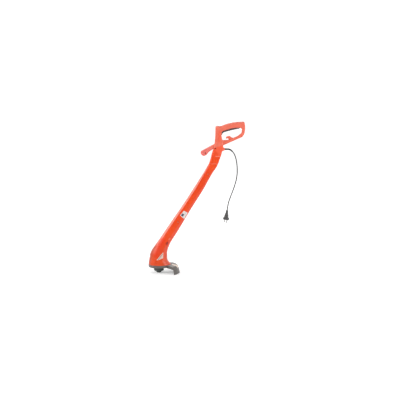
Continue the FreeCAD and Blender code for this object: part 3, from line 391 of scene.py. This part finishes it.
# painted highlights and painted shade along lines on the shaft
shell_zones = [
    (rail_line, (-3.0, 0.0, 1.0), (0.75, 0.75, 0.0), linear("ee9080")),              # painted highlight along the rail
    (rail_line, (-1.6, -0.6, 0.6, 1.2), (0.0, 0.6, 0.6, 0.0), linear("f9ab9a")),     # painted highlight on the rail's edge
    (rail_line, (0.4, 1.2, 16.0, 34.0), (0.0, 0.5, 0.3, 0.0), linear("ee3f08")),     # painted shade, deep orange beside the rail
    (rear_line, (-3.0, 3.0), (0.0, 0.55), linear("ea6250")),                         # painted light on the rear flank
    (head_line, (-4.0, 8.0), (0.9, 0.0), linear("c2421e")),                          # painted shade on the front
]
shell_patches = [
    ((-448, 0, -758), 24.4, (-16, 16), (-62, 62), 9.0, 0.8, linear("f03400")),     # painted shade on the motor housing
]
shell_marks = [
    ((-400, 0, -733), 31.5, (-6, 6), (-12.5, 12.5), 1.2, 0.5, linear("dc3a34")),   # painted shadow in the screw pocket
    ((-385, 0, -706), 31.5, (-5, 5), (-7, 7), 3.0, 0.35, linear("f6a080")),        # pale spot above the screw pocket
]
shell_red = moulded_plastic(
    "shell_red", linear("f4511c"), linear("ec4614"), 0.3, 0.10 * MM, seam=True, specular=0.25,
    # the pale band is a painted highlight on the shaft's shoulder
    painted_highlight_bands=[((-126, -94), (-236.0, -231.5), 0.6)], zones=shell_zones, patches=shell_patches,
    # the darkening towards the bottom is painted shade
    # the pale tint on faces that look up is a painted highlight
    marks=shell_marks, dust_and_top_highlight=(0.1, linear("f2a294")), grime_and_low_shade=(-700, -870, 0.26))

# painted shade on the column below the loop's bar: the column as half-planes, and the line
# where the painted shade is deepest
below_bar = [(0.3, -1.0, 101.5, 0.8), (1.0, -0.3654, -58.5, 1.5), (-1.0, 0.2692, 14.0, 3.0)]
deep_line = [(-97.6, -146.7), (-66.6, -196.4)]
handle_patches = [
    ((-165, 0, -162), -30.7, (-66, 48), (-20, 20), 7.0, 0.6, linear("ec7a78")),    # painted highlight, the front grip's pink sheen
    ((-76, 0, -62), 3.0, (-8, 8), (-36, 36), 6.0, 0.55, linear("f2562e")),         # painted shade down the middle of the column
]
handle_red = moulded_plastic(
    "handle_red", linear("f37c64"), linear("ed6e57"), 0.42, 0.14 * MM, seam=True, specular=0.35,
    # the pale band is a painted highlight at the handle's lower rim
    painted_highlight_bands=[((-100, -74), (-189.2, -185.6), 0.7)],
    # the region is painted shade on the column below the loop's bar
    region=(below_bar, linear("f65f3c"), deep_line, linear("f04a16")), patches=handle_patches)
trigger_black = moulded_plastic("trigger_black", linear("4d4244"), linear("403739"), 0.5, 0.12 * MM)
inner_black = moulded_plastic("inner_black", linear("2a2b2c"), linear("1f2021"), 0.5, 0.10 * MM)
head_grey = moulded_plastic("head_grey", linear("454c46"), linear("3a403c"), 0.42, 0.10 * MM)
guard_grey = moulded_plastic("guard_grey", linear("65605c"), linear("57524f"), 0.4, 0.12 * MM)
cord_pvc = rubber("cord_pvc", linear("262525"), 0.75, 0.2)
plug_pvc = rubber("plug_pvc", linear("444343"), 0.55)
lead_pvc = rubber("lead_pvc", linear("2b2b2b"))
black_steel = metal("black_steel", linear("3a3836"), 0.45, (1, 1, 6))
zinc = metal("zinc", linear("c9c8c4"), 0.34, (1, 1, 6))
# the reddish tint of this steel is a painted reflection of the red shell around the screws
dull_steel = metal("dull_steel", linear("b8948a"), 0.5, (1, 1, 6))
nickel = metal("nickel", linear("63605b"), 0.38, (1, 1, 8))
iron = metal("laminated_iron", linear("77777a"), 0.45, (0.2, 0.2, 12), 900)
copper = metal("enamelled_copper", linear("c06a35"), 0.3, (0.4, 0.4, 6), 900)
bronze = metal("sintered_bronze", linear("a8834a"), 0.5, (1, 1, 1), 1500)
carbon = moulded_plastic("carbon", linear("1c1c1d"), linear("141414"), 0.45, 0.06 * MM)
nylon_line = moulded_plastic("nylon_line", linear("e8862f"), linear("d9741f"), 0.3, 0.05 * MM)


def label_film(name, colour, shade, prints=()):
    """Printed plastic film: plain colour blocks, faint dirt, and a fine orange-peel gloss.

    Each print is (centre, degrees, x range, z range, colour), with the ranges in millimetres.
    """
    m = Nodes(name)
    paint = m.mix(m.ramp(m.noise(120, 4, 0.6), 0.35, 0.75, 0.0, 1.0), colour, shade)
    for centre, degrees, x_range, z_range, ink in prints:
        paint = m.mix(m.patch(m.turned(centre, degrees), x_range, z_range), paint, ink)
    grime_and_low_shade = m.ramp(m.noise(35, 4, 0.65), 0.55, 0.8, 0.0, 0.3)
    m.paint(m.mix(grime_and_low_shade, paint, lighter(shade, 0.7)))
    m.set(rough=m.ramp(m.noise(80, 3), 0.3, 0.7, 0.28, 0.42))
    return m.finish(m.bump(m.noise(500, 2), 0.03 * MM, 0.4))


shaft_film = label_film(
    "shaft_film", linear("ece8e4"), linear("dcd7d2"),
    [((-303.5, 0, -554.5), 28.5, (-7.5, 7.5), (-8.5, 8.5), linear("4a4258"))])
motor_film = label_film(
    "motor_film", linear("ecd0c4"), linear("e0bfb1"),
    [((-446, 0, -811), 40.9, (3.6, 7.4), (-22, 22), linear("96786f"))])
guard_film = label_film("guard_film", linear("efe0cd"), linear("e4cfba"))

looks = {
    "left_handle_shell": handle_red, "right_handle_shell": handle_red,
    "handle_screws": black_steel, "joint_screw": black_steel, "shaft_screws": dull_steel,
    "left_shaft_shell": shell_red, "right_shaft_shell": shell_red,
    "trigger": trigger_black, "switch_body": inner_black, "switch_plunger": inner_black,
    "capacitor": inner_black, "clamp_bar": inner_black,
    "supply_lead": lead_pvc, "motor_lead": lead_pvc,
    "strain_relief": cord_pvc, "power_cord": cord_pvc, "plug_body": plug_pvc, "plug_pins": nickel,
    "guard": guard_grey, "lower_motor_bracket": inner_black, "upper_motor_bracket": inner_black,
    "lower_bearing": bronze, "upper_bearing": bronze, "stator_core": iron, "armature_core": iron,
    "field_coils": copper, "armature_windings": copper, "commutator": copper,
    "brush_holders": nickel, "brushes": carbon, "fan": inner_black,
    "head_housing": head_grey, "head_cover": head_grey, "spool": head_grey, "bump_knob": head_grey,
    "line_winding": nylon_line, "shaft_label": shaft_film, "motor_label": motor_film,
    "guard_label": guard_film,
}
for name, obj in nodes.items():
    obj.data.materials.clear()
    obj.data.materials.append(looks.get(name, zinc))


# ------------------------------------------------------------------ mains cord
cord_r = 3 * MM
cord_route = [(-20, 0, -144.3), (-11, 0, -146.6), (-1.0, 0, -153.0), (8.0, 0, -162.2),
              (16.9, 0, -175.4), (27.2, 0, -201), (34.4, 0, -246.5), (36.0, 0, -293), (29, 0, -342),
              (13, 0, -393), (-6.5, 0, -444), (-21.43, 0, -487.2), (-26.7, 0, -528.9)]
curve = bpy.data.curves.new("mains_cord", "CURVE")
curve.dimensions = "3D"
curve.bevel_depth = cord_r
curve.bevel_resolution = 6
curve.resolution_u = 16
curve.use_fill_caps = True
line = curve.splines.new("NURBS")
line.points.add(len(cord_route) - 1)
for point, place in zip(line.points, cord_route):
    point.co = (*(v * MM for v in place), 1.0)
line.order_u = 3
line.use_endpoint_u = True
cord = link(bpy.data.objects.new("mains_cord", curve))
curve.materials.append(cord_pvc)
rest_on(cord, "housing")
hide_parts("power_cord")


# ------------------------------------------------------------------ strain relief
def relief_profile(mouth=5.3, tip=4.4, start=-21.6, end=28.0, groove_step=4.2):
    """(distance past the cord's exit, radius) in mm, from the flange inside to the soft tip."""
    profile = [(-45.0, 5.7), (-42.4, 5.7), (-42.3, 4.6), (-22.0, 4.6), (start, mouth)]
    for number in range(1, int((end - start) / groove_step)):
        middle = start + number * groove_step
        outer = mouth + (tip - mouth) * (middle - start) / (end - start)
        profile += [(middle - 0.7, outer), (middle - 0.5, outer - 0.9),
                    (middle + 0.5, outer - 0.9), (middle + 0.7, outer)]
    return profile + [(end - 0.5, tip), (end, tip - 0.5)]


def relief_sleeve(sides=28):
    """The ribbed sleeve, straight through the column's boss and then along the cord's own line."""
    bare = bpy.data.objects.new("relief_line", curve.copy())
    bare.data.bevel_depth = 0
    line_mesh = bpy.data.meshes.new_from_object(bare)
    places = [v.co.copy() for v in line_mesh.vertices]
    bpy.data.objects.remove(bare)
    lengths = [0.0]
    for a, b in zip(places, places[1:]):
        lengths.append(lengths[-1] + (b - a).length)

    def centre(distance):
        if distance <= 0:
            return places[0] + Vector((distance, 0, 0))
        i = next(i for i, reached in enumerate(lengths) if reached > distance)
        share = (distance - lengths[i - 1]) / (lengths[i] - lengths[i - 1])
        return places[i - 1].lerp(places[i], share)

    bm = bmesh.new()
    rings = []
    for distance, radius in relief_profile():
        middle = centre(distance * MM)
        along = (centre((distance + 1.5) * MM) - centre((distance - 1.5) * MM)).normalized()
        across = Vector((0, 1, 0))
        up = along.cross(across)
        rings.append([middle + radius * MM * (math.cos(turn) * across + math.sin(turn) * up)
                      for turn in (math.tau * k / sides for k in range(sides))])
    skin_rings(bm, rings)
    sleeve = rest_on(solid("relief_sleeve", bm, cord_pvc), "housing")
    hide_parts("strain_relief")


relief_sleeve()


# ------------------------------------------------------------------ finger ribs of the bump knob
def knob_ribs(count=16, steps=10, start=0.9 * MM, reach=8.8 * MM, proud=0.6 * MM,
              sunk=0.6 * MM, half_width=0.9 * MM):
    """Ribs that follow the knob's flank and taper into it at both ends, so a glove can turn it.

    They begin at start above the knob's foot and go up by reach, and their places are found by
    rays from well outside the knob.
    """
    outside = 60 * MM
    shape = nodes["bump_knob"].data
    skin = BVHTree.FromPolygons([v.co for v in shape.vertices], [p.vertices[:] for p in shape.polygons])
    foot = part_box("bump_knob")[0][2] + start
    bm = bmesh.new()
    for number in range(count):
        angle = math.tau * (number + 0.5) / count
        out = Vector((math.cos(angle), math.sin(angle), 0))
        side = Vector((-out.y, out.x, 0))
        rings = []
        for step in range(steps + 1):
            level = Vector((SPINDLE_X, 0, foot + reach * step / steps))
            place, normal, _, _ = skin.ray_cast(level + outside * out, -out)
            swell = math.sin(math.pi * step / steps) ** 0.5
            top, width = normal * (proud + sunk * 0.5) * swell, side * half_width * (0.45 + 0.55 * swell)
            base = place - normal * sunk * 0.5
            rings.append((
                base - normal * sunk - width, base - normal * sunk + width, base + top * 0.55 + width,
                base + top + width * 0.5, base + top - width * 0.5, base + top * 0.55 - width))
        skin_rings(bm, rings)
    rest_on(solid("knob_ribs", bm, head_grey), "spool")


knob_ribs()


# ------------------------------------------------------------------ springs
def coil(node, body):
    """A copy of the node's spring that moves with a body, in place of the hidden node."""
    piece = link(bpy.data.objects.new(node + "_coil", nodes[node].data.copy()))
    rest_on(piece, body)
    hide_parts(node)
    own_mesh(piece)


coil("trigger_spring", "housing")
coil("bump_spring", "rotor")


# ------------------------------------------------------------------ floor, world and lamps
def seen_ray(tree):
    """1 for rays that show the background: straight to the camera, reflected or through glass."""
    rays = tree.nodes.new("ShaderNodeLightPath")
    result = rays.outputs["Is Camera Ray"]
    for name in ("Is Glossy Ray", "Is Transmission Ray"):
        either = tree.nodes.new("ShaderNodeMath")
        either.operation = "MAXIMUM"
        tree.links.new(result, either.inputs[0])
        tree.links.new(rays.outputs[name], either.inputs[1])
        result = either.outputs[0]
    return result


def stage_plane():
    """A wide pale floor that glows white at a distance and keeps the object's shadow close by."""
    size = 60.0
    mesh = bpy.data.meshes.new("floor")
    mesh.from_pydata([(-size, -size, FLOOR_Z), (size, -size, FLOOR_Z), (size, size, FLOOR_Z),
                      (-size, size, FLOOR_Z)], [], [(0, 1, 2, 3)])
    floor = link(bpy.data.objects.new("floor", mesh))
    m = bpy.data.materials.new("floor")
    m.use_nodes = True
    tree = m.node_tree
    shader = tree.nodes["Principled BSDF"]
    shader.inputs["Base Color"].default_value = (0.82, 0.82, 0.82, 1)
    shader.inputs["Roughness"].default_value = 0.9
    coords = tree.nodes.new("ShaderNodeTexCoord")
    distance = tree.nodes.new("ShaderNodeVectorMath")
    distance.operation = "LENGTH"
    tree.links.new(coords.outputs["Object"], distance.inputs[0])
    glow = tree.nodes.new("ShaderNodeMapRange")
    for key, value in (("From Min", 1.2), ("From Max", 6.0), ("To Min", 0.40), ("To Max", 0.80)):
        glow.inputs[key].default_value = value
    tree.links.new(distance.outputs["Value"], glow.inputs["Value"])
    level = tree.nodes.new("ShaderNodeMath")
    level.operation = "MULTIPLY"
    tree.links.new(glow.outputs["Result"], level.inputs[1])
    tree.links.new(seen_ray(tree), level.inputs[0])
    shader.inputs["Emission Color"].default_value = (1, 1, 1, 1)
    tree.links.new(level.outputs[0], shader.inputs["Emission Strength"])
    mesh.materials.append(m)


def build_world():
    """Soft white light all round, seen as pure white."""
    world = bpy.data.worlds.new("studio")
    scene.world = world
    world.use_nodes = True
    tree = world.node_tree
    back = tree.nodes["Background"]
    back.inputs["Color"].default_value = (1, 1, 1, 1)
    strength = tree.nodes.new("ShaderNodeMapRange")
    strength.inputs["To Min"].default_value = 0.34
    strength.inputs["To Max"].default_value = 1.0
    tree.links.new(seen_ray(tree), strength.inputs["Value"])
    tree.links.new(strength.outputs["Result"], back.inputs["Strength"])


def lamp(name, place, target, size, power):
    light = bpy.data.lights.new(name, "AREA")
    light.shape = "RECTANGLE"
    light.size, light.size_y = size
    light.energy = power
    obj = link(bpy.data.objects.new(name, light))
    obj.location = place
    aim(obj, target)


stage_plane()
build_world()
lamp("left_box", (-3.2, -0.6, 0.6), LAMP_TARGET, (2.6, 1.0), 60)
lamp("right_box", (2.8, -1.4, -0.1), LAMP_TARGET, (1.4, 1.5), 48)
lamp("front", (-0.9, -3.0, 2.4), LAMP_TARGET, (1.6, 1.6), 38)
lamp("back", (-0.6, 2.6, 1.8), LAMP_TARGET, (2.0, 1.4), 40)
